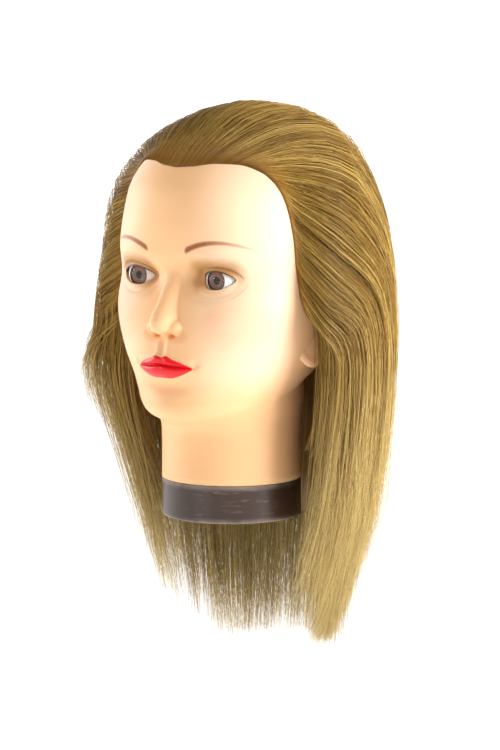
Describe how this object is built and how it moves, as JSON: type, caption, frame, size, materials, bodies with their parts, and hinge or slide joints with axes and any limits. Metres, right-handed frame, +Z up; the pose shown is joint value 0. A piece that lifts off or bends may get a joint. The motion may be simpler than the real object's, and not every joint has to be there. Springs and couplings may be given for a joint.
{
  "type": "mannequin training head",
  "caption": "Hairdresser's training head: soft vinyl head on a foam core with rooted shoulder-length hair, inset eyes and a base cap with a clamp socket.",
  "frame": {"origin": "centre of the clamp socket's mouth, in the flat underside of the base cap", "axes": "+Z up along the neck and the socket's axis, the face looks along -Y, the head's own left is +X"},
  "size_m": [0.2242, 0.2164, 0.3813],
  "materials": {
    "skin_vinyl": "satin",
    "foam": "matte",
    "latex": "matte",
    "socket_plastic": "matte",
    "cap_plastic": "gloss",
    "screw_steel": "zinc plated",
    "eye_white": "gloss",
    "iris": "gloss",
    "cornea": "clear",
    "hair": "fibre"
  },
  "bodies": {
    "root": {"head_skin": "skin_vinyl", "foam_core": "foam", "root_seal": "latex", "clamp_socket": "socket_plastic", "base_cap": "cap_plastic", "base_screws": "screw_steel", "eye_white_left": "eye_white", "eye_white_right": "eye_white", "eye_iris_left": "iris", "eye_iris_right": "iris", "eye_cornea_left": "cornea", "eye_cornea_right": "cornea", "hair_crown": "hair", "hair_side_left": "hair", "hair_side_right": "hair", "hair_rear_left": "hair", "hair_rear_right": "hair", "hair_nape": "hair"}
  },
  "joints": []
}
